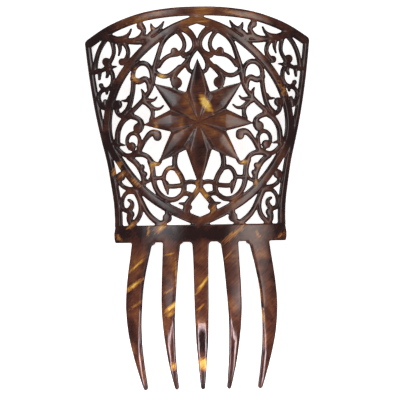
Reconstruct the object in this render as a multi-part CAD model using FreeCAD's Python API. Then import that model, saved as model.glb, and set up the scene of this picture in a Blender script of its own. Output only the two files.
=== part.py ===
import FreeCAD, Part
import math
import os
from collections import namedtuple

# A tall openwork comb with five teeth, worn at the back of the head to hold a mantilla.
# One sheet is sawn through with scrolls round an eight-rayed star, then bowed across its width.
# X is the comb's width, Y runs from the tooth tips up to the top rim, and +Z is the bulging front.
# All sizes are millimetres. Tables give the right half, which is mirrored about X = 0.
# Their places and widths are those seen square on from the front, after the bow.

BOW_RADIUS = 90.0        # the sheet is bent to this radius about a line along Y
TOOTH_DROP = 18.0        # the tips curve back this far behind the sheet
BEND_START_Y = -20.0     # the teeth start to curve back here
TIP_Y = -105.0
SHEET_THICKNESS = 2.6
TOOTH_THICKNESS = 3.2
TIP_THICKNESS = 1.8
STAR_CENTRE = (0.0, 42.0)
STAR_RISE = 1.6          # the star's middle stands this far above the sheet
STAR_TIP_LIP = 2.1       # flat margin left at each of the star's tips
STAR_NOTCH_LIP = 1.0     # and at each of its notches
STAR_AXIS_SHARE = 0.52   # a ray keeps its full height to this share of its length from the tip
STAR_SHOULDER = 0.36     # and its facet narrows to this share of the way from notch to axis
HEADING_TAPER = 12.0     # the sheet thickens over this length above the heading
TIP_TAPER_Y = -60.0      # the teeth get thinner from here down
GRID = 0.5               # spacing of the field in which the outline is found
DISC_STEP = 0.4          # spacing of the round spots that sweep out a scroll
TOOTH_STEP = 0.75        # and a tooth
OUTLINE_SLACK = 0.12     # how far the outline may cut a corner
LONGEST_EDGE = 6.0
FOLD_STEP = 6.0          # spacing of the folds that follow the bow
FOLD_OFFSET = 0.013      # keeps the folds off the corners of the outline
FOLD_REACH = 110.0       # the folds run this far up and down
FILLET = 0.5             # blend where two scrolls meet
ROOT_FILLET = 1.8        # blend between the heading and the teeth
REACH = 1.6              # the field is worked out this far round each bar
WALL_SHARE = 0.4         # how much of a tilted wall's depth shows beside its bar
MOST_SQUASH = 0.4        # a thin bar is narrowed by no more than this share for its walls
NODE_MARGIN = 0.03       # the outline keeps this share of a cell away from the field's nodes
WELD = 1e-5              # corners closer than this are one

Bar = namedtuple("Bar", "name widths path")
Ball = namedtuple("Ball", "name x y radius")
Tooth = namedtuple("Tooth", "name x y width")
Ray = namedtuple("Ray", "name tip notch bulge notch_bulge")

# The rims: width at the start, middle and end of each, and points along its centre line.
RIMS = [
    Bar("top rim", (4.7, 4.6, 4.8),
        [(0, 102.9), (10, 102.7), (20, 101.8), (29.4, 100.2), (39.2, 97.2), (49.1, 92.8), (59.3, 86.2)]),
    Bar("side rim", (3.4, 3.6, 4.4),
        [(60.2, 86.2), (58.9, 74), (57.0, 60), (53.4, 40), (51.1, 30), (48.7, 20), (47.0, 10),
         (45.5, 0), (44.8, -10), (44.8, -15)]),
    Bar("ogee frame", (4.4, 4.8, 5.0),
        [(0, 98.4), (12, 94.2), (24, 86.8), (35.1, 76.4), (43.0, 65.6), (49.0, 50), (50.0, 38),
         (48, 29), (43.8, 21.3), (37, 11.4), (30, 3.9), (21.6, -2.6), (13, -7.5), (0, -13.2)]),
]

# The scrolls inside the frame, from the top down.
INNER_SCROLLS = [
    Bar("crown scroll", (4.0, 2.8, 2.6),
        [(7.8, 93.8), (4.2, 91.2), (1.8, 87.6), (1.3, 84.2), (3.1, 80.6), (7.4, 78.4)]),
    Bar("arch over star tip", (2.0, 2.4, 2.0),
        [(0.3, 82.7), (2.9, 79.4), (4.9, 75.8), (5.4, 72.6), (4.4, 70.2), (2.6, 69.2)]),
    Bar("upper curl", (2.4, 2.1, 2.8),
        [(11.2, 92.4), (8.0, 88.2), (7.0, 84.6), (8.0, 81.4), (10.5, 79.7), (12.6, 80.4)]),
    Bar("curl tail", (2.6, 2.2, 2.4), [(11.0, 79.4), (15.8, 78.4), (19.0, 76.1), (21.4, 72.8)]),
    Bar("upper stem", (2.8, 2.6, 3.0),
        [(12.2, 92.0), (16.4, 89.0), (19.4, 85.0), (21.2, 80.0), (22.7, 75.4), (23.9, 71.0)]),
    Bar("leaf loop", (2.6, 2.6, 2.8),
        [(4.4, 77.2), (6.4, 74.6), (9.3, 71.6), (12.0, 68.6), (13.9, 65.4)]),
    Bar("arch by star ray", (2.4, 2.3, 2.4),
        [(9.8, 72.4), (14.0, 68.9), (17.5, 67.3), (20.6, 67.8), (23.6, 70.4)]),
    Bar("main stem", (2.6, 2.6, 2.6),
        [(23.4, 71.6), (24.2, 67.0), (25.2, 62.6), (27.2, 58.4), (30.2, 54.6), (33.4, 51.3), (37.4, 47.4)]),
    Bar("ring", (2.6, 2.7, 2.4),
        [(25.0, 66.0), (25.6, 70.6), (27.6, 73.8), (30.4, 74.8), (33.4, 73.4), (35.2, 70.4), (35.6, 67.0)]),
    Bar("ring foot", (3.0, 3.2, 3.2),
        [(26.7, 61.0), (27.2, 64.2), (29.2, 66.0), (31.2, 65.1), (33.2, 64.8), (35.6, 66.2)]),
    Bar("ring stem", (2.6, 2.8, 3.2),
        [(35.7, 69.0), (35.6, 62.0), (36.3, 57.4), (37.4, 52.8), (39.0, 49.2), (41.8, 46.2)]),
    Bar("long leaf", (3.6, 2.2, 0.8), [(29.4, 55.2), (30.0, 58.2), (31.1, 60.4)]),
    Bar("thorn on ring stem", (2.8, 1.8, 0.8), [(37.6, 56.0), (39.6, 54.3), (41.6, 54.4)]),
    Bar("upper thorn", (0.8, 2.0, 2.6), [(22.7, 56.0), (24.3, 54.4), (27.0, 54.2), (30.6, 53.6)]),
    Bar("lower thorn", (0.8, 2.0, 3.0),
        [(19.2, 51.2), (20.6, 49.9), (23.2, 49.4), (26.0, 51.0), (29.6, 53.4)]),
    Bar("stem to side ray", (2.6, 2.3, 2.6), [(27.6, 51.8), (25.6, 49.4), (25.1, 46.2), (25.9, 43.4)]),
    Bar("side hook", (2.8, 2.6, 3.2), [(40.2, 45.8), (43.2, 46.4), (44.9, 48.8), (44.6, 52.0)]),
    Bar("side sweep", (3.2, 3.0, 3.4),
        [(36.8, 46.2), (40.6, 44.0), (43.2, 40.4), (44.5, 36.6), (44.8, 33.0), (45.0, 29.6)]),
    Bar("sweep thorn", (0.8, 1.8, 2.6), [(41.2, 29.8), (43.2, 30.2), (45.6, 30.6)]),
    Bar("side curl", (3.0, 2.7, 4.0), [(37.8, 45.8), (34.4, 44.8), (31.7, 42.4), (31.9, 39.6)]),
    Bar("lower hook", (4.0, 2.6, 2.8),
        [(22.6, 35.6), (25.6, 36.2), (28.7, 33.6), (31.0, 30.2), (33.2, 25.6)]),
    Bar("volute", (2.6, 2.1, 2.2),
        [(33.6, 25.6), (32.6, 30.6), (33.1, 34.5), (36.1, 36.3), (38.8, 34.4), (39.4, 31.0), (38.0, 27.8)]),
    Bar("volute foot", (3.6, 2.4, 2.4), [(34.4, 25.2), (38.4, 23.8), (42.0, 25.2), (45.0, 28.4)]),
    Bar("bowl under ray tip", (1.6, 2.6, 2.8),
        [(20.9, 21.6), (22.6, 19.1), (25.0, 19.7), (27.9, 22.8), (31.2, 24.5), (34.4, 24.6)]),
    Bar("lower stem", (3.2, 2.8, 2.4),
        [(27.0, 20.8), (25.7, 16.0), (25.3, 11.0), (24.1, 6.0), (21.0, 1.6), (16.0, -0.7),
         (12.0, 0.3), (9.0, 2.5), (5.4, 2.2)]),
    Bar("stem foot", (1.8, 2.0, 1.8), [(26.2, 14.0), (27.0, 10.8), (28.4, 9.7), (30.8, 8.9)]),
    Bar("oval ring", (2.4, 2.3, 2.4),
        [(13.2, 16.4), (16.3, 16.8), (19.1, 13.8), (19.6, 10.2), (17.8, 7.3), (13.6, 6.7), (9.4, 7.2)]),
    Bar("ring spur", (2.2, 2.0, 2.0), [(19.6, 11.8), (22.2, 11.3), (25.0, 11.5)]),
    Bar("stem by lower ray", (2.8, 2.8, 2.8),
        [(12.2, 26.0), (13.4, 21.4), (13.0, 17.0), (10.7, 13.2), (9.0, 9.0), (8.6, 5.0), (9.4, 2.6)]),
    Bar("arch under star", (2.2, 2.3, 2.3), [(0.8, 7.6), (3.0, 8.8), (5.4, 9.0), (8.4, 8.2)]),
    Bar("ring thorn", (3.2, 2.4, 0.8), [(18.6, 8.4), (18.0, 5.4), (17.5, 2.4)]),
    Bar("crossing ribbon", (2.8, 2.8, 4.0),
        [(-1.4, 8.6), (1.2, 4.4), (4.0, 0.6), (6.6, -2.6), (7.4, -5.2), (7.4, -8.4)]),
    Bar("ribbon thorn", (2.4, 1.5, 0.8), [(7.6, -3.4), (9.4, -3.0), (11.2, -2.8)]),
    Bar("lobed twig", (3.0, 3.2, 2.8),
        [(38.4, 22.8), (34.8, 19.9), (32.1, 15.8), (30.8, 12.0), (30.8, 8.4), (32.2, 5.0)]),
    Bar("leaf at frame", (3.0, 3.4, 2.6), [(24.6, 87.6), (28.4, 88.8), (32.4, 87.4)]),
]

# The scrolls between the frame and the rims, from the top down.
OUTER_SCROLLS = [
    Bar("large flame", (3.4, 3.6, 0.8),
        [(27.4, 87.6), (25.0, 90.6), (22.2, 92.4), (19.9, 94.6), (18.2, 97.4)]),
    Bar("small flame", (3.0, 2.5, 0.8), [(22.6, 92.4), (24.4, 93.9), (25.2, 96.3)]),
    Bar("corner stroke", (3.4, 2.6, 2.8),
        [(30.9, 95.8), (29.3, 92.6), (31.8, 88.9), (35.4, 87.4), (39.6, 87.2)]),
    Bar("frame link", (2.0, 2.2, 2.4), [(29.4, 86.2), (34.0, 86.2), (39.6, 87.0)]),
    Bar("flower heart", (2.6, 4.0, 4.4), [(39.4, 87.0), (44.4, 87.8), (49.4, 89.6)]),
    Bar("top thorn", (1.0, 2.4, 3.0), [(36.2, 93.7), (37.5, 91.0), (40.4, 88.9), (44.0, 88.2)]),
    Bar("first petal", (2.8, 2.5, 2.6), [(40.8, 86.6), (38.5, 83.2), (38.2, 79.4), (40.0, 76.2)]),
    Bar("second petal", (3.0, 2.3, 0.8), [(43.4, 87.0), (42.5, 83.0), (43.3, 79.2)]),
    Bar("third petal", (2.8, 2.3, 2.6),
        [(46.9, 87.0), (46.0, 83.2), (46.3, 79.4), (47.9, 76.2), (49.6, 72.8)]),
    Bar("fourth petal", (2.8, 2.7, 2.8),
        [(49.8, 88.8), (52.8, 84.6), (55.0, 79.6), (56.1, 74.8), (56.6, 70.4)]),
    Bar("bridge", (3.0, 2.2, 2.4), [(48.8, 73.6), (51.8, 71.6), (56.4, 70.4)]),
    Bar("bridge thorn", (2.6, 1.7, 0.8), [(49.8, 72.6), (47.4, 72.9), (45.1, 73.2)]),
    Bar("side loop", (3.0, 2.4, 2.4),
        [(49.6, 73.0), (46.9, 69.0), (46.8, 65.4), (48.5, 61.8), (51.2, 60.7), (53.3, 62.7)]),
    Bar("first bead spur", (2.6, 2.2, 1.6), [(49.6, 71.6), (49.5, 69.2), (50.1, 67.4)]),
    Bar("second bead spur", (2.8, 2.2, 1.2), [(54.2, 71.4), (54.0, 68.6), (54.2, 66.2)]),
    Bar("lower side loop", (2.4, 2.2, 2.6),
        [(49.8, 60.8), (52.9, 59.9), (54.6, 57.0), (54.0, 53.6), (52.2, 50.4)]),
    Bar("hanging spur", (1.8, 1.6, 1.4), [(50.0, 60.6), (50.1, 59.4), (50.3, 58.2)]),
    Bar("side leaf", (2.2, 3.0, 2.4), [(51.2, 54.6), (51.4, 52.6), (51.7, 50.4)]),
    Bar("lower corner loop", (3.0, 2.7, 2.8),
        [(36.0, 5.0), (33.4, 0.0), (32.5, -5.0), (33.6, -9.7), (37.4, -14.2)]),
    Bar("lower arm", (3.0, 2.9, 3.2),
        [(34.6, 4.2), (32.4, -0.6), (29.7, -6.2), (26.6, -10.4), (22.6, -13.6)]),
    Bar("corner arch", (2.4, 2.2, 2.6),
        [(36.2, 4.0), (39.4, 3.9), (41.9, 1.4), (42.8, -2.6), (41.9, -5.6), (39.4, -6.4)]),
    Bar("corner hook", (1.6, 2.7, 3.0), [(39.0, -0.5), (37.4, -1.9), (37.7, -4.4), (39.6, -6.4)]),
    Bar("corner leaf", (3.0, 3.8, 3.0), [(39.0, -6.0), (38.5, -8.6), (38.8, -10.8), (37.9, -14.0)]),
    Bar("rim hook", (2.6, 2.2, 2.4), [(44.6, 11.0), (43.4, 8.4), (41.0, 6.4), (36.8, 5.3)]),
    Bar("heading neck", (2.8, 2.4, 3.0), [(18.3, -10.2), (18.1, -8.6), (17.8, -6.8)]),
    Bar("heading foot", (2.8, 2.8, 3.4), [(18.2, -12.0), (20.2, -13.2), (22.6, -13.9)]),
]

# The round ends of the scrolls.
BALLS = [
    Ball("upper curl end", 12.6, 80.9, 2.0), Ball("leaf loop end", 11.7, 63.6, 3.0),
    Ball("side hook end", 44.1, 52.3, 2.3), Ball("side curl end", 33.2, 39.0, 2.7),
    Ball("lower hook end", 22.7, 34.2, 2.3), Ball("volute end", 36.9, 29.0, 2.3),
    Ball("ribbon ball", 6.0, -5.0, 1.6), Ball("upper twig lobe", 31.5, 17.5, 1.5),
    Ball("lower twig lobe", 30.0, 13.6, 1.4), Ball("rim ball", 43.2, 12.6, 2.4),
    Ball("heading ball", 18.1, -10.7, 2.5), Ball("corner stroke end", 31.1, 95.3, 2.0),
    Ball("first petal end", 41.5, 75.7, 1.9), Ball("third petal end", 50.2, 75.9, 2.2),
    Ball("side loop end", 53.3, 63.0, 1.2), Ball("corner leaf lobe", 38.1, -8.4, 2.0),
]

# The heading, the plain band that carries the teeth: half widths from its top edge down.
Level = namedtuple("Level", "y half_width")
HEADING = [Level(-14.6, 46.6), Level(-19.0, 47.4), Level(-22.4, 47.3), Level(-24.1, 46.8)]

# The teeth: centre and width down the length of each.
TEETH = [
    [Tooth("middle", 0, -20, 9.2), Tooth("middle", 0, -33, 8.0), Tooth("middle", 0, -60, 7.4),
     Tooth("middle", 0, -80, 6.2), Tooth("middle", 0, -94, 4.0), Tooth("middle", 0, -104.2, 2.2)],
    [Tooth("inner", 15.4, -20, 9.4), Tooth("inner", 16.8, -35, 8.2), Tooth("inner", 17.8, -50, 7.6),
     Tooth("inner", 18.3, -63, 6.8), Tooth("inner", 17.8, -77, 5.6), Tooth("inner", 16.2, -93, 3.8),
     Tooth("inner", 14.4, -104.2, 2.1)],
    [Tooth("outer", 31.4, -20, 10.6), Tooth("outer", 34.0, -34, 9.2), Tooth("outer", 36.2, -47, 8.4),
     Tooth("outer", 37.2, -60, 8.0), Tooth("outer", 36.9, -74, 6.8), Tooth("outer", 34.6, -90, 4.7),
     Tooth("outer", 31.6, -104.2, 2.3)],
]

# The star: each ray's tip, the notch that follows it clockwise, and how far the two edges bulge.
STAR = [
    Ray("top", (0, 77.0), (6.6, 58.4), 1.0, 0.7),
    Ray("upper diagonal", (24.1, 63.4), (15.2, 48.9), 0.4, 0.5),
    Ray("side", (30.2, 40.7), (15.0, 36.7), 0.3, 0.4),
    Ray("lower diagonal", (21.8, 20.5), (7.1, 26.7), 0.5, 0.4),
    Ray("bottom", (0, 6.0), None, 0.0, 0.0),
]


def mirrored(points):
    """The same points on the other side of the comb's middle."""
    return [(-x, y) for x, y in points]


def along(path, step):
    """Places about one step apart on a smooth line through the points, each with its share of the length."""
    line = Part.BSplineCurve()
    line.interpolate([FreeCAD.Vector(x, y, 0) for x, y in path])
    count = max(5, int(line.length() / step))
    return [(p.x, p.y, i / (count - 1)) for i, p in enumerate(line.discretize(Number=count))]


def between(share, values):
    """A value read from evenly spaced ones at this share of the way."""
    place = share * (len(values) - 1)
    first = min(int(place), len(values) - 2)
    return values[first] + (values[first + 1] - values[first]) * (place - first)


def bar_discs(bar):
    """The round spots that sweep out a bar."""
    return [(x, y, between(share, bar.widths) / 2) for x, y, share in along(bar.path, DISC_STEP)]


def tooth_discs(tooth):
    """The round spots that sweep out a tooth."""
    discs = []
    for a, b in zip(tooth, tooth[1:]):
        count = int((a.y - b.y) / TOOTH_STEP)
        for i in range(count + 1):
            share = i / count
            width = a.width + (b.width - a.width) * share
            discs.append((a.x + (b.x - a.x) * share, a.y + (b.y - a.y) * share, width / 2))
    return discs


def slope_allowance(x):
    """How much of a bar's seen width, each side, is its tilted wall rather than its face."""
    return WALL_SHARE * SHEET_THICKNESS * abs(x) / BOW_RADIUS


class Field:
    """Distance to the sawn outline, less than 0 in the material, at the nodes of a square grid."""

    def __init__(self):
        self.value = {}

    def add(self, discs, fillet):
        """Blend in one swept bar and its mirror image."""
        near = {}
        for x, y, radius in discs:
            squash = 1 / (1 - min(MOST_SQUASH, slope_allowance(x) / radius))
            reach = radius + REACH
            for i in range(math.ceil((x - reach) / GRID), math.floor((x + reach) / GRID) + 1):
                dx = (i * GRID - x) * squash
                for j in range(math.ceil((y - reach) / GRID), math.floor((y + reach) / GRID) + 1):
                    distance = math.hypot(dx, j * GRID - y) - radius
                    for node in {(i, j), (-i, j)}:
                        if distance < near.get(node, REACH):
                            near[node] = distance
        self.blend(near, fillet)

    def blend(self, near, fillet):
        """Join these distances to the field, rounding the inner corner where two shapes meet."""
        for node, distance in near.items():
            old = self.value.get(node, REACH)
            overlap = max(fillet - abs(old - distance), 0) / fillet
            self.value[node] = min(old, distance) - overlap * overlap * fillet / 4

    def add_polygon(self, corners, fillet):
        """Blend in a straight-sided shape."""
        xs, ys = zip(*corners)
        sides = list(zip(corners, corners[1:] + corners[:1]))
        near = {}
        for i in range(int((min(xs) - REACH) / GRID), int((max(xs) + REACH) / GRID) + 1):
            for j in range(int((min(ys) - REACH) / GRID) - 1, int((max(ys) + REACH) / GRID) + 1):
                x, y = i * GRID, j * GRID
                distance = min(segment_distance(x, y, a, b) for a, b in sides)
                near[i, j] = -distance if inside(x, y, corners) else distance
        self.blend(near, fillet)

    def loops(self):
        """Closed outlines where the field is 0, with the material on the left of each."""
        onward = {}
        cells = {(i + di, j + dj) for i, j in self.value for di in (-1, 0) for dj in (-1, 0)}
        for i, j in cells:
            for start, end in self.cell_crossings(i, j):
                onward[start] = end
        found = []
        while onward:
            start, here = onward.popitem()
            loop = [start]
            while here != start:
                loop.append(here)
                here = onward.pop(here)
            found.append([self.crossing(*edge) for edge in loop])
        return found

    def cell_crossings(self, i, j):
        """Which edges of one cell the outline joins, each edge named by its material and open nodes."""
        nodes = [(i, j), (i + 1, j), (i + 1, j + 1), (i, j + 1)]
        solid = [self.value.get(n, REACH) < 0 for n in nodes]
        leaves, enters = [], []
        for k in range(4):
            a, b = nodes[k], nodes[(k + 1) % 4]
            if solid[k] and not solid[(k + 1) % 4]:
                leaves.append((k, (a, b)))
            if solid[(k + 1) % 4] and not solid[k]:
                enters.append((k, (b, a)))
        pairs = []
        for k, edge in enters:
            turn, partner = min(((m - k) % 4, out) for m, out in leaves)
            pairs.append((partner, edge))
        return pairs

    def crossing(self, material, opening):
        """Where the outline crosses the edge between two nodes."""
        a, b = self.value[material], self.value.get(opening, REACH)
        share = min(max(a / (a - b), NODE_MARGIN), 1 - NODE_MARGIN)
        return tuple(round((m + (o - m) * share) * GRID, 5) for m, o in zip(material, opening))


def segment_distance(x, y, a, b):
    """Distance from a place to a straight edge."""
    ex, ey = b[0] - a[0], b[1] - a[1]
    share = min(max(((x - a[0]) * ex + (y - a[1]) * ey) / (ex * ex + ey * ey), 0), 1)
    return math.hypot(x - a[0] - ex * share, y - a[1] - ey * share)


def inside(x, y, corners):
    """Whether a place lies in a closed outline."""
    crossings = 0
    for (ax, ay), (bx, by) in zip(corners, corners[1:] + corners[:1]):
        if (ay > y) != (by > y) and x < ax + (y - ay) * (bx - ax) / (by - ay):
            crossings += 1
    return crossings % 2 == 1


def simplified(loop):
    """The loop without the places that a straight edge passes within the outline's slack."""
    far = max(range(len(loop)), key=lambda k: math.dist(loop[k], loop[0]))
    return thinned(loop[: far + 1])[:-1] + thinned(loop[far:] + loop[:1])[:-1]


def thinned(line):
    """An open line's ends and the places between that its shape needs."""
    if len(line) < 3:
        return line
    a, b = line[0], line[-1]
    far = max(range(1, len(line) - 1), key=lambda k: segment_distance(*line[k], a, b))
    too_long = math.dist(a, b) > LONGEST_EDGE
    if segment_distance(*line[far], a, b) < OUTLINE_SLACK and not too_long:
        return [a, b]
    if segment_distance(*line[far], a, b) < OUTLINE_SLACK:
        far = len(line) // 2
    return thinned(line[: far + 1])[:-1] + thinned(line[far:])


def star_outline():
    """The star's edge: tips and notches with a slightly bulging edge between each two."""
    half = []
    for ray, after in zip(STAR, STAR[1:]):
        half += bulging(ray.tip, ray.notch, ray.bulge) + bulging(ray.notch, after.tip, ray.notch_bulge)
    return half + [STAR[-1].tip] + mirrored(half[1:])[::-1]


def bulging(a, b, bulge):
    """Two places on an edge that swells away from the star's centre: its start and its middle."""
    middle = [(p + q) / 2 for p, q in zip(a, b)]
    out = [m - c for m, c in zip(middle, STAR_CENTRE)]
    size = math.hypot(*out)
    return [a, tuple(m + o / size * bulge for m, o in zip(middle, out))]


def star_facets():
    """Triangles of the raised star, each corner a place and its height above the sheet."""
    tips = [ray.tip for ray in STAR]
    notches = [ray.notch for ray in STAR[:-1]]
    ring = tips + mirrored(tips[1:-1])[::-1]
    gaps = notches + mirrored(notches)[::-1]
    centre = (*STAR_CENTRE, STAR_RISE)
    facets = []
    for k, tip in enumerate(ring):
        tip_in = toward_centre(tip, STAR_TIP_LIP, 0.0)
        before = toward_centre(gaps[k - 1], STAR_NOTCH_LIP, 0.0)
        after = toward_centre(gaps[k], STAR_NOTCH_LIP, 0.0)
        axis = toward_centre(tip, STAR_AXIS_SHARE * math.dist(tip, STAR_CENTRE), STAR_RISE)
        shoulders = []
        for notch in (before, after):
            x, y = (n + (a - n) * STAR_SHOULDER for n, a in zip(notch[:2], axis[:2]))
            shoulders.append((x, y, STAR_RISE))
        left, right = shoulders
        facets += [(centre, before, left), (before, tip_in, left), (left, tip_in, axis)]
        facets += [(centre, right, after), (right, tip_in, after), (axis, tip_in, right)]
        facets += [(centre, left, axis), (centre, axis, right)]
    return facets


def toward_centre(place, step, height):
    """The place moved toward the star's centre, with this height."""
    share = step / math.dist(place, STAR_CENTRE)
    x, y = (p + (c - p) * share for p, c in zip(place, STAR_CENTRE))
    return (x, y, height)


def relief(x, y, facets):
    """Height of the star's facets above the sheet."""
    for (ax, ay, ah), (bx, by, bh), (cx, cy, ch) in facets:
        area = (bx - ax) * (cy - ay) - (cx - ax) * (by - ay)
        u = ((x - ax) * (cy - ay) - (cx - ax) * (y - ay)) / area
        v = ((bx - ax) * (y - ay) - (x - ax) * (by - ay)) / area
        if min(u, v, 1 - u - v) > -1e-4:
            return ah + u * (bh - ah) + v * (ch - ah)
    return 0.0


def middle_surface(x, y):
    """Height of the bowed sheet's middle, and its slopes across and along."""
    depth = math.sqrt(BOW_RADIUS ** 2 - x * x)
    back = max(BEND_START_Y - y, 0) / (BEND_START_Y - TIP_Y)
    height = depth - BOW_RADIUS - TOOTH_DROP * back * back
    return height, -x / depth, 2 * TOOTH_DROP * back / (BEND_START_Y - TIP_Y)


def thickness(y):
    """The sheet thickens to the heading and teeth, and thins to the tips."""
    above = y - HEADING[0].y
    if above > 0:
        return SHEET_THICKNESS + (TOOTH_THICKNESS - SHEET_THICKNESS) * max(0, 1 - above / HEADING_TAPER)
    share = max(0, (TIP_TAPER_Y - y) / (TIP_TAPER_Y - TIP_Y))
    return TOOTH_THICKNESS + (TIP_THICKNESS - TOOTH_THICKNESS) * share


def front_and_back(x, y, facets):
    """The two places on the comb's faces that lie over one place of its outline."""
    height, across, lengthwise = middle_surface(x, y)
    size = math.sqrt(across * across + lengthwise * lengthwise + 1)
    normal = FreeCAD.Vector(-across / size, -lengthwise / size, 1 / size)
    half = thickness(y) / 2
    middle = FreeCAD.Vector(x, y, height)
    return middle + normal * (half + relief(x, y, facets)), middle - normal * half


def sawn_outline():
    """The flat outline as the comb is seen from the front: outer edge and gaps."""
    field = Field()
    for bar in RIMS + INNER_SCROLLS + OUTER_SCROLLS:
        field.add(bar_discs(bar), FILLET)
    for ball in BALLS:
        field.add([(ball.x, ball.y, ball.radius)], FILLET)
    field.add_polygon(star_outline(), FILLET)
    for tooth in TEETH:
        field.add(tooth_discs(tooth), ROOT_FILLET)
    edge = [(level.half_width - slope_allowance(level.half_width), level.y) for level in HEADING]
    field.add_polygon(edge + mirrored(edge)[::-1], ROOT_FILLET)
    return [simplified(loop) for loop in field.loops()]


def flat_pieces(loops, facets):
    """The outline filled in, then parted along the star's edges and the folds of the bow."""
    wires = [Part.makePolygon([FreeCAD.Vector(x, y, 0) for x, y in loop + loop[:1]]) for loop in loops]
    sheet = Part.makeFace(wires, "Part::FaceMakerBullseye")
    cutters = []
    for facet in facets:
        corners = [FreeCAD.Vector(*corner[:2], 0) for corner in facet]
        cutters.append(Part.Face(Part.makePolygon(corners + corners[:1])))
    reach = int(max(x for loop in loops for x, y in loop) / FOLD_STEP)
    for k in range(-reach, reach + 1):
        x = k * FOLD_STEP + FOLD_OFFSET
        cutters.append(Part.makeLine(FreeCAD.Vector(x, -FOLD_REACH, 0), FreeCAD.Vector(x, FOLD_REACH, 0)))
    return sheet.generalFuse(cutters)[0].Faces


def triangles_of(faces):
    """Corner places and triangles of the parted faces, turned the same way, with shared corners merged."""
    numbers = {}
    triangles = []
    for face in faces:
        corners, flat = face.tessellate(GRID)
        names = [numbers.setdefault((round(p.x, 4), round(p.y, 4)), len(numbers)) for p in corners]
        for triangle in flat:
            a, b, c = (corners[k] for k in triangle)
            upward = (b.x - a.x) * (c.y - a.y) - (c.x - a.x) * (b.y - a.y)
            corner_names = [names[k] for k in triangle]
            if len(set(corner_names)) == len(corner_names):
                triangles.append(tuple(corner_names if upward > 0 else corner_names[::-1]))
    return list(numbers), triangles


def comb():
    """The whole comb: front, back and every sawn wall."""
    facets = star_facets()
    loops = sawn_outline()
    print("outline loops", len(loops), "corners", sum(len(loop) for loop in loops))
    places, triangles = triangles_of(flat_pieces(loops, facets))
    fronts, backs = zip(*(front_and_back(x, y, facets) for x, y in places))
    edges = {(t[k], t[(k + 1) % 3]) for t in triangles for k in range(3)}
    count = len(places)
    skin = triangles + [tuple(count + k for k in t[::-1]) for t in triangles]
    for a, b in edges:
        if (b, a) not in edges:
            skin += [(b, a, count + a), (b, count + a, count + b)]
    print("triangles", len(skin))
    shape = Part.Shape()
    shape.makeShapeFromMesh((list(fronts + backs), skin), WELD, True)
    return Part.Solid(shape.Shells[0] if shape.Shells else shape)


def stood_on_floor(shape):
    """The comb with its bounding box's bottom centre at the origin."""
    box = shape.BoundBox
    shape.translate(FreeCAD.Vector(-box.Center.x, -box.Center.y, -box.ZMin))
    return shape


os.makedirs("parts", exist_ok=True)
solid = stood_on_floor(comb())
print("valid", solid.isValid(), "shells", len(solid.Shells), "volume", round(solid.Volume, 1))
print("box", solid.BoundBox)
solid.exportStep("parts/comb.step")
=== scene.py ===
# %% [markdown]
# # A tall openwork hair comb
# The real comb is one sheet of polished tortoiseshell-coloured plastic. It is sawn through with scrolls
# round an eight-rayed star, its edges are rounded by hand, and it is then bowed over heat.
# This lesson makes it in the same order: each scroll is swept flat, the scrolls are fused into one sheet,
# the sheet is bowed, and the finish and the light come last.

# %% Load the frame that the comb has to fit
import math
from collections import namedtuple

import bmesh
import bpy
import numpy as np
from mathutils import Matrix, Vector


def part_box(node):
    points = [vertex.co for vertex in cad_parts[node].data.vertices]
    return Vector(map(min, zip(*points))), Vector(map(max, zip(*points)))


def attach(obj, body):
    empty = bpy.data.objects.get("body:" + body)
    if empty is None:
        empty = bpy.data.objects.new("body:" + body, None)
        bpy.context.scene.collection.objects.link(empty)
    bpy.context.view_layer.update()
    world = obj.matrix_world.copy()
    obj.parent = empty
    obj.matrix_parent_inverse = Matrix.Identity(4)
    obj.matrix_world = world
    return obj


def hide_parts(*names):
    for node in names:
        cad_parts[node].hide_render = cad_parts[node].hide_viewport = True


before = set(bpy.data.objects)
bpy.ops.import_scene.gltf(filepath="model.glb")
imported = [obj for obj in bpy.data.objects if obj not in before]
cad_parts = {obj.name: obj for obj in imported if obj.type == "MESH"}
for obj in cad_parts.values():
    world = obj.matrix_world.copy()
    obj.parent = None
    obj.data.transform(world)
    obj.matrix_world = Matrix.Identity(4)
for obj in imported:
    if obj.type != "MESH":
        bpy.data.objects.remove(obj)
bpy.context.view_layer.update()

NODE = "comb"
low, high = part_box(NODE)
print("the comb's box in metres:", [round(v, 4) for v in low], [round(v, 4) for v in high])

# %% [markdown]
# ## The camera
# The photograph looks square on at the comb's front, which is turned about one degree to the left in it.
# A long lens from far off keeps the rims, which lie lower than the star, from shrinking, so it is set first
# and everything else is judged through it. Image rows run along the comb, so up in the image is +Y.

# %% Set the camera over the comb
PIXEL_MM = 0.55             # one pixel of the photograph on the comb
IMAGE_PIXELS = 400
COMB_CENTRE_PIXEL = (199.8, 198.4)
TURN = math.radians(1.0)
CAMERA_DISTANCE = 8.0       # metres
FARTHEST_SEEN = 20.0        # metres
LENS_MM = 300.0
MM = 0.001


def set_camera():
    """A camera straight over the comb that frames it as the photograph does."""
    data = bpy.data.cameras.new("camera")
    camera = bpy.data.objects.new("camera", data)
    bpy.context.scene.collection.objects.link(camera)
    bpy.context.scene.camera = camera
    wide = IMAGE_PIXELS * PIXEL_MM * MM
    data.lens = LENS_MM
    data.sensor_width = wide * LENS_MM / CAMERA_DISTANCE
    data.clip_end = FARTHEST_SEEN
    right = (IMAGE_PIXELS / 2 - COMB_CENTRE_PIXEL[0]) * PIXEL_MM * MM
    up = -(IMAGE_PIXELS / 2 - COMB_CENTRE_PIXEL[1]) * PIXEL_MM * MM
    over = Matrix.Translation((right, up, high[2] + CAMERA_DISTANCE))
    camera.matrix_world = Matrix.Rotation(-TURN, 4, "Z") @ over
    return camera


camera = set_camera()
print("camera", camera.location, "sensor", camera.data.sensor_width)

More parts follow.
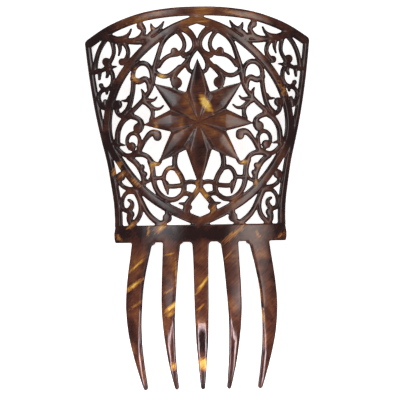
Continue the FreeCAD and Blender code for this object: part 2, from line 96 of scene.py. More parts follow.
# %% [markdown]
# ## The pattern
# The pattern is the same on both sides of the middle, so only its right half is written down, in
# millimetres, as a maker would mark it on the sheet. Each scroll is a smooth line through a few points
# with a width at its start, middle and end. Its ends are round, and the round knobs are discs of their own.

# %% Write down the rims and the frame
Bar = namedtuple("Bar", "name widths path")
# Each has its widths at the start, the middle and the end, and points along its centre line.
RIMS = [
    Bar("top rim", (4.7, 4.6, 4.8),
        [(0, 102.9), (10, 102.7), (20, 101.8), (29.4, 100.2), (39.2, 97.2), (49.1, 92.8), (59.3, 86.2)]),
    Bar("side rim", (3.4, 3.6, 4.4),
        [(60.2, 86.2), (58.9, 74), (57.0, 60), (53.4, 40), (51.1, 30), (48.7, 20), (47.0, 10),
         (45.5, 0), (44.8, -10), (44.8, -15)]),
    Bar("ogee frame", (4.4, 4.8, 5.0),
        [(0, 98.4), (12, 94.2), (24, 86.8), (35.1, 76.4), (43.0, 65.6), (49.0, 50), (50.0, 38),
         (48, 29), (43.8, 21.3), (37, 11.4), (30, 3.9), (21.6, -2.6), (13, -7.5), (0, -13.2)]),
]
print("rims and frame:", len(RIMS), "bars")

# %% Write down the scrolls inside the frame, from the top down
INNER_SCROLLS = [
    Bar("crown scroll", (4.0, 2.8, 2.6),
        [(7.8, 93.8), (4.2, 91.2), (1.8, 87.6), (1.3, 84.2), (3.1, 80.6), (7.4, 78.4)]),
    Bar("arch over star tip", (2.0, 2.4, 2.0),
        [(0.3, 82.7), (2.9, 79.4), (4.9, 75.8), (5.4, 72.6), (4.4, 70.2), (2.6, 69.2)]),
    Bar("upper curl", (2.4, 2.1, 2.8),
        [(11.2, 92.4), (8.0, 88.2), (7.0, 84.6), (8.0, 81.4), (10.5, 79.7), (12.6, 80.4)]),
    Bar("curl tail", (2.6, 2.2, 2.4), [(11.0, 79.4), (15.8, 78.4), (19.0, 76.1), (21.4, 72.8)]),
    Bar("upper stem", (2.8, 2.6, 3.0),
        [(12.2, 92.0), (16.4, 89.0), (19.4, 85.0), (21.2, 80.0), (22.7, 75.4), (23.9, 71.0)]),
    Bar("leaf loop", (2.6, 2.6, 2.8),
        [(4.4, 77.2), (6.4, 74.6), (9.3, 71.6), (12.0, 68.6), (13.9, 65.4)]),
    Bar("arch by star ray", (2.4, 2.3, 2.4),
        [(9.8, 72.4), (14.0, 68.9), (17.5, 67.3), (20.6, 67.8), (23.6, 70.4)]),
    Bar("main stem", (2.6, 2.6, 2.6),
        [(23.4, 71.6), (24.2, 67.0), (25.2, 62.6), (27.2, 58.4), (30.2, 54.6), (33.4, 51.3), (37.4, 47.4)]),
    Bar("ring", (2.6, 2.7, 2.4),
        [(25.0, 66.0), (25.6, 70.6), (27.6, 73.8), (30.4, 74.8), (33.4, 73.4), (35.2, 70.4), (35.6, 67.0)]),
    Bar("ring foot", (3.0, 3.2, 3.2),
        [(26.7, 61.0), (27.2, 64.2), (29.2, 66.0), (31.2, 65.1), (33.2, 64.8), (35.6, 66.2)]),
    Bar("ring stem", (2.6, 2.8, 3.2),
        [(35.7, 69.0), (35.6, 62.0), (36.3, 57.4), (37.4, 52.8), (39.0, 49.2), (41.8, 46.2)]),
    Bar("long leaf", (3.6, 2.2, 0.8), [(29.4, 55.2), (30.0, 58.2), (31.1, 60.4)]),
    Bar("thorn on ring stem", (2.8, 1.8, 0.8), [(37.6, 56.0), (39.6, 54.3), (41.6, 54.4)]),
    Bar("upper thorn", (0.8, 2.0, 2.6), [(22.7, 56.0), (24.3, 54.4), (27.0, 54.2), (30.6, 53.6)]),
    Bar("lower thorn", (0.8, 2.0, 3.0),
        [(19.2, 51.2), (20.6, 49.9), (23.2, 49.4), (26.0, 51.0), (29.6, 53.4)]),
    Bar("stem to side ray", (2.6, 2.3, 2.6), [(27.6, 51.8), (25.6, 49.4), (25.1, 46.2), (25.9, 43.4)]),
    Bar("side hook", (2.8, 2.6, 3.2), [(40.2, 45.8), (43.2, 46.4), (44.9, 48.8), (44.6, 52.0)]),
    Bar("side sweep", (3.2, 3.0, 3.4),
        [(36.8, 46.2), (40.6, 44.0), (43.2, 40.4), (44.5, 36.6), (44.8, 33.0), (45.0, 29.6)]),
    Bar("sweep thorn", (0.8, 1.8, 2.6), [(41.2, 29.8), (43.2, 30.2), (45.6, 30.6)]),
    Bar("side curl", (3.0, 2.7, 4.0), [(37.8, 45.8), (34.4, 44.8), (31.7, 42.4), (31.9, 39.6)]),
    Bar("lower hook", (4.0, 2.6, 2.8),
        [(22.6, 35.6), (25.6, 36.2), (28.7, 33.6), (31.0, 30.2), (33.2, 25.6)]),
    Bar("volute", (2.6, 2.1, 2.2),
        [(33.6, 25.6), (32.6, 30.6), (33.1, 34.5), (36.1, 36.3), (38.8, 34.4), (39.4, 31.0), (38.0, 27.8)]),
    Bar("volute foot", (3.6, 2.4, 2.4), [(34.4, 25.2), (38.4, 23.8), (42.0, 25.2), (45.0, 28.4)]),
    Bar("bowl under ray tip", (1.6, 2.6, 2.8),
        [(20.9, 21.6), (22.6, 19.1), (25.0, 19.7), (27.9, 22.8), (31.2, 24.5), (34.4, 24.6)]),
    Bar("lower stem", (3.2, 2.8, 2.4),
        [(27.0, 20.8), (25.7, 16.0), (25.3, 11.0), (24.1, 6.0), (21.0, 1.6), (16.0, -0.7),
         (12.0, 0.3), (9.0, 2.5), (5.4, 2.2)]),
    Bar("stem foot", (1.8, 2.0, 1.8), [(26.2, 14.0), (27.0, 10.8), (28.4, 9.7), (30.8, 8.9)]),
    Bar("oval ring", (2.4, 2.3, 2.4),
        [(13.2, 16.4), (16.3, 16.8), (19.1, 13.8), (19.6, 10.2), (17.8, 7.3), (13.6, 6.7), (9.4, 7.2)]),
    Bar("ring spur", (2.2, 2.0, 2.0), [(19.6, 11.8), (22.2, 11.3), (25.0, 11.5)]),
    Bar("stem by lower ray", (2.8, 2.8, 2.8),
        [(12.2, 26.0), (13.4, 21.4), (13.0, 17.0), (10.7, 13.2), (9.0, 9.0), (8.6, 5.0), (9.4, 2.6)]),
    Bar("arch under star", (2.2, 2.3, 2.3), [(0.8, 7.6), (3.0, 8.8), (5.4, 9.0), (8.4, 8.2)]),
    Bar("ring thorn", (3.2, 2.4, 0.8), [(18.6, 8.4), (18.0, 5.4), (17.5, 2.4)]),
    Bar("crossing ribbon", (2.8, 2.8, 4.0),
        [(-1.4, 8.6), (1.2, 4.4), (4.0, 0.6), (6.6, -2.6), (7.4, -5.2), (7.4, -8.4)]),
    Bar("ribbon thorn", (2.4, 1.5, 0.8), [(7.6, -3.4), (9.4, -3.0), (11.2, -2.8)]),
    Bar("lobed twig", (3.0, 3.2, 2.8),
        [(38.4, 22.8), (34.8, 19.9), (32.1, 15.8), (30.8, 12.0), (30.8, 8.4), (32.2, 5.0)]),
    Bar("leaf at frame", (3.0, 3.4, 2.6), [(24.6, 87.6), (28.4, 88.8), (32.4, 87.4)]),
]
print("inside the frame:", len(INNER_SCROLLS), "scrolls on each side")

# %% Write down the scrolls between the frame and the rims, from the top down
OUTER_SCROLLS = [
    Bar("large flame", (3.4, 3.6, 0.8),
        [(27.4, 87.6), (25.0, 90.6), (22.2, 92.4), (19.9, 94.6), (18.2, 97.4)]),
    Bar("small flame", (3.0, 2.5, 0.8), [(22.6, 92.4), (24.4, 93.9), (25.2, 96.3)]),
    Bar("corner stroke", (3.4, 2.6, 2.8),
        [(30.9, 95.8), (29.3, 92.6), (31.8, 88.9), (35.4, 87.4), (39.6, 87.2)]),
    Bar("frame link", (2.0, 2.2, 2.4), [(29.4, 86.2), (34.0, 86.2), (39.6, 87.0)]),
    Bar("flower heart", (2.6, 4.0, 4.4), [(39.4, 87.0), (44.4, 87.8), (49.4, 89.6)]),
    Bar("top thorn", (1.0, 2.4, 3.0), [(36.2, 93.7), (37.5, 91.0), (40.4, 88.9), (44.0, 88.2)]),
    Bar("first petal", (2.8, 2.5, 2.6), [(40.8, 86.6), (38.5, 83.2), (38.2, 79.4), (40.0, 76.2)]),
    Bar("second petal", (3.0, 2.3, 0.8), [(43.4, 87.0), (42.5, 83.0), (43.3, 79.2)]),
    Bar("third petal", (2.8, 2.3, 2.6),
        [(46.9, 87.0), (46.0, 83.2), (46.3, 79.4), (47.9, 76.2), (49.6, 72.8)]),
    Bar("fourth petal", (2.8, 2.7, 2.8),
        [(49.8, 88.8), (52.8, 84.6), (55.0, 79.6), (56.1, 74.8), (56.6, 70.4)]),
    Bar("bridge", (3.0, 2.2, 2.4), [(48.8, 73.6), (51.8, 71.6), (56.4, 70.4)]),
    Bar("bridge thorn", (2.6, 1.7, 0.8), [(49.8, 72.6), (47.4, 72.9), (45.1, 73.2)]),
    Bar("side loop", (3.0, 2.4, 2.4),
        [(49.6, 73.0), (46.9, 69.0), (46.8, 65.4), (48.5, 61.8), (51.2, 60.7), (53.3, 62.7)]),
    Bar("first bead spur", (2.6, 2.2, 1.6), [(49.6, 71.6), (49.5, 69.2), (50.1, 67.4)]),
    Bar("second bead spur", (2.8, 2.2, 1.2), [(54.2, 71.4), (54.0, 68.6), (54.2, 66.2)]),
    Bar("lower side loop", (2.4, 2.2, 2.6),
        [(49.8, 60.8), (52.9, 59.9), (54.6, 57.0), (54.0, 53.6), (52.2, 50.4)]),
    Bar("hanging spur", (1.8, 1.6, 1.4), [(50.0, 60.6), (50.1, 59.4), (50.3, 58.2)]),
    Bar("side leaf", (2.2, 3.0, 2.4), [(51.2, 54.6), (51.4, 52.6), (51.7, 50.4)]),
    Bar("lower corner loop", (3.0, 2.7, 2.8),
        [(36.0, 5.0), (33.4, 0.0), (32.5, -5.0), (33.6, -9.7), (37.4, -14.2)]),
    Bar("lower arm", (3.0, 2.9, 3.2),
        [(34.6, 4.2), (32.4, -0.6), (29.7, -6.2), (26.6, -10.4), (22.6, -13.6)]),
    Bar("corner arch", (2.4, 2.2, 2.6),
        [(36.2, 4.0), (39.4, 3.9), (41.9, 1.4), (42.8, -2.6), (41.9, -5.6), (39.4, -6.4)]),
    Bar("corner hook", (1.6, 2.7, 3.0), [(39.0, -0.5), (37.4, -1.9), (37.7, -4.4), (39.6, -6.4)]),
    Bar("corner leaf", (3.0, 3.8, 3.0), [(39.0, -6.0), (38.5, -8.6), (38.8, -10.8), (37.9, -14.0)]),
    Bar("rim hook", (2.6, 2.2, 2.4), [(44.6, 11.0), (43.4, 8.4), (41.0, 6.4), (36.8, 5.3)]),
    Bar("heading neck", (2.8, 2.4, 3.0), [(18.3, -10.2), (18.1, -8.6), (17.8, -6.8)]),
    Bar("heading foot", (2.8, 2.8, 3.4), [(18.2, -12.0), (20.2, -13.2), (22.6, -13.9)]),
]
print("outside it:", len(OUTER_SCROLLS), "scrolls on each side")

# %% Write down the round ends of the scrolls
Ball = namedtuple("Ball", "name x y radius")
BALLS = [
    Ball("upper curl end", 12.6, 80.9, 2.0), Ball("leaf loop end", 11.7, 63.6, 3.0),
    Ball("side hook end", 44.1, 52.3, 2.3), Ball("side curl end", 33.2, 39.0, 2.7),
    Ball("lower hook end", 22.7, 34.2, 2.3), Ball("volute end", 36.9, 29.0, 2.3),
    Ball("ribbon ball", 6.0, -5.0, 1.6), Ball("upper twig lobe", 31.5, 17.5, 1.5),
    Ball("lower twig lobe", 30.0, 13.6, 1.4), Ball("rim ball", 43.2, 12.6, 2.4),
    Ball("heading ball", 18.1, -10.7, 2.5), Ball("corner stroke end", 31.1, 95.3, 2.0),
    Ball("first petal end", 41.5, 75.7, 1.9), Ball("third petal end", 50.2, 75.9, 2.2),
    Ball("side loop end", 53.3, 63.0, 1.2), Ball("corner leaf lobe", 38.1, -8.4, 2.0),
]
print(len(BALLS), "knobs on each side")

# %% Write down the band and the teeth
Level = namedtuple("Level", "y half_width")
Tooth = namedtuple("Tooth", "name x y width")
# The heading is the plain band that carries the teeth. Its levels run from its top edge down.
HEADING = [Level(-14.6, 46.6), Level(-19.0, 47.4), Level(-22.4, 47.3), Level(-24.1, 46.8)]
# Each tooth has its centre and its width at a few places down its length.
TEETH = [
    [Tooth("middle", 0, -20, 9.2), Tooth("middle", 0, -33, 8.0), Tooth("middle", 0, -60, 7.4),
     Tooth("middle", 0, -80, 6.2), Tooth("middle", 0, -94, 4.0), Tooth("middle", 0, -104.2, 2.2)],
    [Tooth("inner", 15.4, -20, 9.4), Tooth("inner", 16.8, -35, 8.2), Tooth("inner", 17.8, -50, 7.6),
     Tooth("inner", 18.3, -63, 6.8), Tooth("inner", 17.8, -77, 5.6), Tooth("inner", 16.2, -93, 3.8),
     Tooth("inner", 14.4, -104.2, 2.1)],
    [Tooth("outer", 31.4, -20, 10.6), Tooth("outer", 34.0, -34, 9.2), Tooth("outer", 36.2, -47, 8.4),
     Tooth("outer", 37.2, -60, 8.0), Tooth("outer", 36.9, -74, 6.8), Tooth("outer", 34.6, -90, 4.7),
     Tooth("outer", 31.6, -104.2, 2.3)],
]
print(2 * len(TEETH) - 1, "teeth in all")

# %% Write down the star
Ray = namedtuple("Ray", "name tip notch bulge notch_bulge")
# Each ray has its tip, the notch that follows it clockwise, and how far its two edges bulge.
STAR = [
    Ray("top", (0, 77.0), (6.6, 58.4), 1.0, 0.7),
    Ray("upper diagonal", (24.1, 63.4), (15.2, 48.9), 0.4, 0.5),
    Ray("side", (30.2, 40.7), (15.0, 36.7), 0.3, 0.4),
    Ray("lower diagonal", (21.8, 20.5), (7.1, 26.7), 0.5, 0.4),
    Ray("bottom", (0, 6.0), None, 0.0, 0.0),
]
print("star:", 2 * (len(STAR) - 1), "rays")

# %% [markdown]
# ## One swept bar
# A scroll could be a curve object with a bevel, but a curve's bevel gets thinner as well as narrower where
# the scroll tapers, and here the sheet keeps its thickness. So a flat grid is rolled into a tube: each
# column of the grid becomes one station along the scroll, and its rows go round a rectangle whose
# corners are rounded as a file would round them. The ends close with a few shrinking stations.

# %% Roll a grid into a bar
SHEET = 2.6                 # thickness of the openwork, in millimetres like every size here
BOW_RADIUS = 90.0
BEVEL_ACROSS = 0.95         # the filed corner, across a bar and down its side
BEVEL_DOWN = 0.72
POLISH_LOSS = 0.20          # smoothing takes about this much off each side of a bar
BEVELLED = (0.0, 1.0)       # places on each corner of a section, which make it a flat bevel
STATION_STEP = 0.7
FEWEST_STEPS = 5            # even along the shortest bar
END_STEPS = (0.5, 0.866, 0.985)     # stations on the half circle that closes an end
WALL_SHARE = 0.28           # a bowed bar shows this share of its tilted wall
MOST_SQUASH = 0.4           # and is drawn narrower for it by this share at most
TOUCHING = 1e-4             # corners as close as this are one
Station = namedtuple("Station", "x y normal half_width half_thickness round drop")


def smooth_line(points, step):
    """Places about one step apart on a natural cubic spline through the points."""
    knots = np.array(points, float)
    chords = np.hypot(*np.diff(knots, axis=0).T)
    length = np.concatenate([[0.0], np.cumsum(chords)])
    last = len(knots) - 1
    system, pull = np.eye(last + 1), np.zeros((last + 1, 2))
    for i in range(1, last):
        before, after = chords[i - 1], chords[i]
        system[i, i - 1: i + 2] = before, 2 * (before + after), after
        pull[i] = 6 * ((knots[i + 1] - knots[i]) / after - (knots[i] - knots[i - 1]) / before)
    bend = np.linalg.solve(system, pull)
    steps = max(FEWEST_STEPS, math.ceil(length[-1] / step))
    place = np.linspace(0.0, length[-1], steps + 1)
    span = np.clip(np.searchsorted(length, place, side="right") - 1, 0, last - 1)
    size = chords[span][:, None]
    share = (place - length[span])[:, None] / size
    rest = 1 - share
    line = rest * knots[span] + share * knots[span + 1]
    return line + ((rest ** 3 - rest) * bend[span] + (share ** 3 - share) * bend[span + 1]) * size ** 2 / 6


def normals_of(line):
    """Unit vectors square to a line, one at each place."""
    along = np.gradient(line, axis=0)
    along /= np.hypot(*along.T)[:, None]
    return np.stack([-along[:, 1], along[:, 0]], axis=1)


def seen_wall(x):
    """How much of a bar's seen width, each side, is its tilted wall once the sheet is bowed."""
    return WALL_SHARE * SHEET * abs(x) / BOW_RADIUS


def bar_stations(bar):
    """The stations of one scroll, with round ends."""
    line = smooth_line(bar.path, STATION_STEP)
    normals = normals_of(line)
    shares = np.linspace(0, 1, len(line))
    half = np.interp(shares, (0, 0.5, 1), bar.widths) / 2 + POLISH_LOSS
    stations = []
    for (x, y), normal, size in zip(line, normals, half):
        narrowing = min(MOST_SQUASH * size, seen_wall(x) * abs(normal[0]))
        stations.append(Station(x, y, normal, size - narrowing, SHEET / 2, BEVEL_ACROSS, BEVEL_DOWN))
    return end_round(stations[0], -1) + stations + end_round(stations[-1], 1)


def end_round(end, way):
    """Stations that close an end with a half circle, in their order along the bar."""
    ahead = (end.normal[1] * way, -end.normal[0] * way)
    caps = []
    for reach in END_STEPS:
        x, y = end.x + ahead[0] * reach * end.half_width, end.y + ahead[1] * reach * end.half_width
        caps.append(end._replace(x=x, y=y, half_width=end.half_width * math.sqrt(1 - reach ** 2)))
    return caps[::way]


def section(station, corner):
    """The rectangle round one station, its corners cut off, as places across and up."""
    inward = min(station.round, station.half_width)
    down = min(station.drop, station.half_thickness)
    ring = []
    for quarter, (side, up) in enumerate(((1, 1), (-1, 1), (-1, -1), (1, -1))):
        for share in corner:
            angle = (quarter + share) * math.pi / 2
            across = side * (station.half_width - inward) + inward * math.cos(angle)
            ring.append((across, up * (station.half_thickness - down) + down * math.sin(angle)))
    return ring


def rolled(stations, corner=BEVELLED):
    """A closed bar through the stations, made by rolling up a grid."""
    bm = bmesh.new()
    rings = [section(s, corner) for s in stations]
    turns = len(rings[0])
    bmesh.ops.create_grid(bm, x_segments=len(stations) - 1, y_segments=turns, size=1.0)
    for vert in bm.verts:
        k = round((vert.co.x + 1) / 2 * (len(stations) - 1))
        across, up = rings[k][round((vert.co.y + 1) / 2 * turns) % turns]
        s = stations[k]
        vert.co = (s.x + s.normal[0] * across, s.y + s.normal[1] * across, up)
    bmesh.ops.remove_doubles(bm, verts=bm.verts, dist=TOUCHING)
    bmesh.ops.holes_fill(bm, edges=bm.edges)
    bmesh.ops.recalc_face_normals(bm, faces=bm.faces)
    return bm


def add_to(sheet, piece):
    """Put a finished piece into the sheet's mesh."""
    mesh = bpy.data.meshes.new("part of the sheet")
    piece.to_mesh(mesh)
    piece.free()
    sheet.from_mesh(mesh)
    bpy.data.meshes.remove(mesh)


def add_both_sides(sheet, piece):
    """Put a piece of the right half into the sheet, and its mirror image on the left."""
    twin = piece.copy()
    bmesh.ops.scale(twin, vec=(-1, 1, 1), verts=twin.verts)
    bmesh.ops.reverse_faces(twin, faces=twin.faces)
    add_to(sheet, twin)
    add_to(sheet, piece)


print("the first bar gets", len(bar_stations(RIMS[0])), "stations")

# %% [markdown]
# ## The openwork
# The rims, the pointed frame and the scrolls all overlap where they meet, as the lines of a drawing do.
# That is fine here, because one remesh fuses them later. The knobs are discs with a rounded edge.

# %% Sweep the rims, the frame and the scrolls
sheet = bmesh.new()
for bar in RIMS + INNER_SCROLLS + OUTER_SCROLLS:
    add_both_sides(sheet, rolled(bar_stations(bar)))
print("swept:", len(sheet.faces), "faces")

# %% Set the knobs
KNOB_SIDES = 24
KNOB_CUTS = 2               # facets across a knob's filed edge
SAME_HEIGHT = 1e-6          # an edge is level if its ends differ by less


def file_rims(plate, segments):
    """Round the level edges of a plate, which are the rims of its two faces."""
    rims = [e for e in plate.edges if abs(e.verts[0].co.z - e.verts[1].co.z) < SAME_HEIGHT]
    bmesh.ops.bevel(plate, geom=rims, offset=BEVEL_DOWN, segments=segments, profile=0.5, affect="EDGES",
                    material=-1)


def knob(ball):
    """A disc as thick as the sheet, its edge rounded."""
    bm = bmesh.new()
    radius = ball.radius + POLISH_LOSS
    bmesh.ops.create_cone(bm, cap_ends=True, segments=KNOB_SIDES, radius1=radius, radius2=radius,
                          depth=SHEET)
    file_rims(bm, KNOB_CUTS)
    bmesh.ops.scale(bm, vec=(1 - seen_wall(ball.x) / radius, 1, 1), verts=bm.verts)
    bmesh.ops.translate(bm, vec=(ball.x, ball.y, 0), verts=bm.verts)
    return bm


for ball in BALLS:
    add_both_sides(sheet, knob(ball))
print("openwork:", len(sheet.faces), "faces before it is fused")

# %% [markdown]
# ## The star
# Each ray is a long kite that stands above the sheet, with lower facets down to its edges. Poking a
# sixteen-sided face twice gives just those facets: the first poke draws the ridges and the valleys
# from the middle, and the second gives every triangle a corner of its own, which becomes the shoulder
# of a kite.

# %% Cut the star
STAR_RISE = 1.6             # the ridges stand this far above the openwork
RIM_RISE = 0.15             # and the star's edge this far
SHOULDER_RISE = 1.35
MIDDLE_RISE = 1.45
SHOULDER_SHARE = 0.36       # a kite's shoulder lies this share of the way from notch to ridge
RIDGE_SHARE = 0.52          # and the ridge's highest place this share of the way in from the tip
STAR_MIDDLE_Y = 42.0
STAR_MIDDLE = Vector((0.0, STAR_MIDDLE_Y, SHEET / 2 + MIDDLE_RISE))


def raised(place, rise):
    """A place of the pattern at a height above the openwork's face."""
    return Vector((place[0], place[1], SHEET / 2 + rise))


def verts_of(geometry):
    """The vertices among what an operator made."""
    return [g for g in geometry if isinstance(g, bmesh.types.BMVert)]


def star():
    """The whole eight-rayed star, from the back of the sheet to the top of its facets."""
    rays = list(STAR) + [r._replace(tip=(-r.tip[0], r.tip[1])) for r in STAR[-2:0:-1]]
    notches = [r.notch for r in STAR[:-1]]
    notches += [(-x, y) for x, y in notches[::-1]]
    bulges = [b for r in STAR[:-1] for b in (r.bulge, r.notch_bulge)]
    bulges += bulges[::-1]
    corners = [raised(p, RIM_RISE) for ray, notch in zip(rays, notches) for p in (ray.tip, notch)]
    bm = bmesh.new()
    bmesh.ops.create_circle(bm, cap_ends=True, segments=len(corners), radius=1)
    rim = list(bm.verts)
    for vert, corner in zip(rim, corners):
        vert.co = corner
    middle = bmesh.ops.poke(bm, faces=bm.faces[:])["verts"][0]
    middle.co = STAR_MIDDLE
    for face in list(bm.faces):
        tip, notch = sorted((v for v in face.verts if v is not middle), key=lambda v: rim.index(v) % 2)
        ridge = tip.co.lerp(STAR_MIDDLE, RIDGE_SHARE)
        shoulder = bmesh.ops.poke(bm, faces=[face])["verts"][0]
        shoulder.co = raised(notch.co.lerp(ridge, SHOULDER_SHARE), SHOULDER_RISE)
    ridges = [e for v in rim[::2] for e in v.link_edges if e.other_vert(v) is middle]
    tops = bmesh.ops.subdivide_edges(bm, edges=ridges, cuts=1)["geom_inner"]
    for vert in verts_of(tops):
        tip = max((e.other_vert(vert).co for e in vert.link_edges), key=lambda co: (co - STAR_MIDDLE).length)
        vert.co = raised(tip.lerp(STAR_MIDDLE, RIDGE_SHARE), STAR_RISE)
    bmesh.ops.subdivide_edges(bm, edges=[e for e in bm.edges if e.is_boundary], cuts=1)
    for start, end, bulge in zip(corners, corners[1:] + corners[:1], bulges):
        half_way = (start + end) / 2
        swell = min(bm.verts, key=lambda v: (v.co - half_way).length)
        out = Vector((half_way.x - STAR_MIDDLE.x, half_way.y - STAR_MIDDLE.y, 0)).normalized()
        swell.co += out * bulge
    edge = [e for e in bm.edges if e.is_boundary]
    foot = bmesh.ops.extrude_edge_only(bm, edges=edge)["geom"]
    for vert in verts_of(foot):
        vert.co.z = -SHEET / 2
    bmesh.ops.holes_fill(bm, edges=bm.edges)
    bmesh.ops.triangulate(bm, faces=bm.faces)
    bmesh.ops.recalc_face_normals(bm, faces=bm.faces)
    return bm


star_piece = star()
print("star:", len(star_piece.faces), "facets, closed:", all(e.is_manifold for e in star_piece.edges))
add_to(sheet, star_piece)

# %% [markdown]
# ## The band and the teeth
# Under the openwork runs a plain band, and the teeth grow out of it. A tooth is the same rolled bar as a
# scroll, but its section changes on the way down: flat with a filed edge at the top, fully rounded and
# thinner at the tip, so that it slides into the hair. Where a tooth leaves the band it spreads in a
# small hollow curve.

# %% Make the band
HEADING_THICKNESS = 3.2
BAND_CUTS = 3               # facets across the band's filed edge


def band():
    """The plain band: its outline raised to a plate, with every edge filed round."""
    right_side = [(level.half_width - seen_wall(level.half_width), level.y) for level in HEADING]
    corners = right_side + [(-x, y) for x, y in right_side[::-1]]
    bm = bmesh.new()
    bmesh.ops.create_circle(bm, cap_ends=True, segments=len(corners), radius=1)
    for vert, (x, y) in zip(list(bm.verts), corners):
        vert.co = (x, y, -HEADING_THICKNESS / 2)
    lid = bmesh.ops.extrude_face_region(bm, geom=bm.faces[:])["geom"]
    bmesh.ops.translate(bm, vec=(0, 0, HEADING_THICKNESS), verts=verts_of(lid))
    bmesh.ops.recalc_face_normals(bm, faces=bm.faces)
    file_rims(bm, BAND_CUTS)
    return bm


add_to(sheet, band())
print("with the band:", len(sheet.faces), "faces")

# %% Make the teeth
BAND_BOTTOM = HEADING[-1].y
ROOT_FILLET = 1.6
TAPER_START_Y = -60.0
TIP_Y = -105.0
TIP_THICKNESS = 1.8
TOOTH_ROUND = 1.1           # the filed corner at the top of a tooth
ROUNDING_PACE = 1.6         # a tooth is round before it has thinned to its tip
ROUNDED = (0.0, 0.25, 0.5, 0.75, 1.0)       # places on each corner of a section, which round it


def tooth_stations(tooth):
    """The stations down one tooth, from inside the band to its rounded tip."""
    line = smooth_line([(t.x, t.y) for t in tooth], STATION_STEP)
    depth = [-t.y for t in tooth]
    stations = []
    for (x, y), normal in zip(line, normals_of(line)):
        half = np.interp(-y, depth, [t.width for t in tooth]) / 2 + POLISH_LOSS
        under = max(BAND_BOTTOM - y, 0.0)
        if under < ROOT_FILLET:
            half += ROOT_FILLET - math.sqrt(ROOT_FILLET ** 2 - (ROOT_FILLET - under) ** 2)
        thin = min(max((TAPER_START_Y - y) / (TAPER_START_Y - TIP_Y), 0.0), 1.0)
        thick = (HEADING_THICKNESS + (TIP_THICKNESS - HEADING_THICKNESS) * thin) / 2
        rounding = min(1.0, thin * ROUNDING_PACE)
        inward = TOOTH_ROUND + (half - TOOTH_ROUND) * rounding
        drop = BEVEL_DOWN + (thick - BEVEL_DOWN) * rounding
        stations.append(Station(x, y, normal, half, thick, inward, drop))
    return stations + end_round(stations[-1], 1)


for tooth in TEETH:
    put_in = add_both_sides if tooth[0].x else add_to
    put_in(sheet, rolled(tooth_stations(tooth), ROUNDED))
print("sheet:", len(sheet.faces), "faces in all")

# %% [markdown]
# ## Fuse the pieces
# A boolean union would leave hard mitres where two scrolls cross, and the real comb has none, because it is
# filed and polished after sawing. A voxel remesh fuses the overlapping pieces instead, and a few
# rounds of smoothing melt the joints. It's done while the sheet is flat, so that its faces stay flat.

# %% Fuse and smooth the sheet
VOXEL = 0.3
SMOOTH_SHARE = 0.5          # of the way to its neighbours that a vertex moves in one round
SMOOTH_ROUNDS = 4
FACE_UPRIGHT = 0.95         # how upright the surface stands on a flat face, and on a filed edge
EDGE_UPRIGHT = 0.55


def with_modifiers(mesh, *steps):
    """A new mesh: the old one with modifiers applied, each given as a type and its settings."""
    piece = bpy.data.objects.new("being worked", mesh)
    bpy.context.scene.collection.objects.link(piece)
    for kind, settings in steps:
        modifier = piece.modifiers.new(kind.lower(), kind)
        for name, value in settings.items():
            setattr(modifier, name, value)
    result = bpy.data.meshes.new_from_object(piece.evaluated_get(bpy.context.evaluated_depsgraph_get()))
    bpy.data.objects.remove(piece)
    bpy.data.meshes.remove(mesh)
    return result


def mark_filed_edges(mesh):
    """Keep in an attribute how filed each place is, by its lean: 0 on a flat face, 1 on a filed edge."""
    leans = np.empty(len(mesh.vertices) * 3, np.float32)
    mesh.vertex_normals.foreach_get("vector", leans)
    upright = np.abs(leans.reshape(-1, 3)[:, 2])
    share = np.clip((FACE_UPRIGHT - upright) / (FACE_UPRIGHT - EDGE_UPRIGHT), 0, 1)
    mesh.attributes.new("filed", "FLOAT", "POINT").data.foreach_set("value", share)


flat = bpy.data.meshes.new("flat sheet")
bmesh.ops.triangulate(sheet, faces=sheet.faces)
sheet.to_mesh(flat)
sheet.free()
fused = with_modifiers(flat, ("REMESH", {"mode": "VOXEL", "voxel_size": VOXEL, "use_smooth_shade": True}),
                       ("SMOOTH", {"factor": SMOOTH_SHARE, "iterations": SMOOTH_ROUNDS}))
print("fused:", len(fused.vertices), "vertices", len(fused.polygons), "faces")
mark_filed_edges(fused)

# %% [markdown]
# ## Bow the sheet
# The real sheet is warmed and bent round a form, so that the comb follows the head, and the teeth are bent
# a little more. A Simple Deform modifier bends one way only, so each place is moved by a formula: it goes
# down the side of a cylinder, and the teeth curve down on top of that.

# %% Bow the sheet and bring it into the frame
MOST_TRIANGLES = 185000
TOOTH_DROP = 18.0
BEND_START_Y = -20.0
PATTERN_TOP_Y = 105.258     # the upper edge of the top rim in the pattern
SHIFT = Vector((0.0, high[1] / MM - PATTERN_TOP_Y, high[2] / MM - SHEET / 2 - STAR_RISE))


def bowed(mesh):
    """Bend the flat mesh to the comb's curve and bring it into metres and into place."""
    places = np.empty(len(mesh.vertices) * 3)
    mesh.vertices.foreach_get("co", places)
    x, y, up = places.reshape(-1, 3).T
    depth = np.sqrt(BOW_RADIUS ** 2 - x ** 2)
    back = np.maximum(BEND_START_Y - y, 0) / (BEND_START_Y - TIP_Y)
    height = depth - BOW_RADIUS - TOOTH_DROP * back ** 2
    normal = np.stack([x / depth, -2 * TOOTH_DROP * back / (BEND_START_Y - TIP_Y), np.ones_like(x)])
    normal /= np.sqrt((normal ** 2).sum(axis=0))
    bent = np.stack([x, y, height]) + normal * up + np.array(SHIFT)[:, None]
    mesh.vertices.foreach_set("co", (bent.T * MM).ravel())
    mesh.update()


bowed(fused)
triangles = 2 * len(fused.polygons)
comb_mesh = with_modifiers(fused, ("DECIMATE", {"ratio": min(1.0, MOST_TRIANGLES / triangles)}))
comb_mesh.name = "comb_sheet"
comb = bpy.data.objects.new("comb_sheet", comb_mesh)
bpy.context.scene.collection.objects.link(comb)
comb_mesh.polygons.foreach_set("use_smooth", [True] * len(comb_mesh.polygons))
print("comb:", len(comb_mesh.polygons), "triangles")
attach(comb, "root")
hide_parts(NODE)

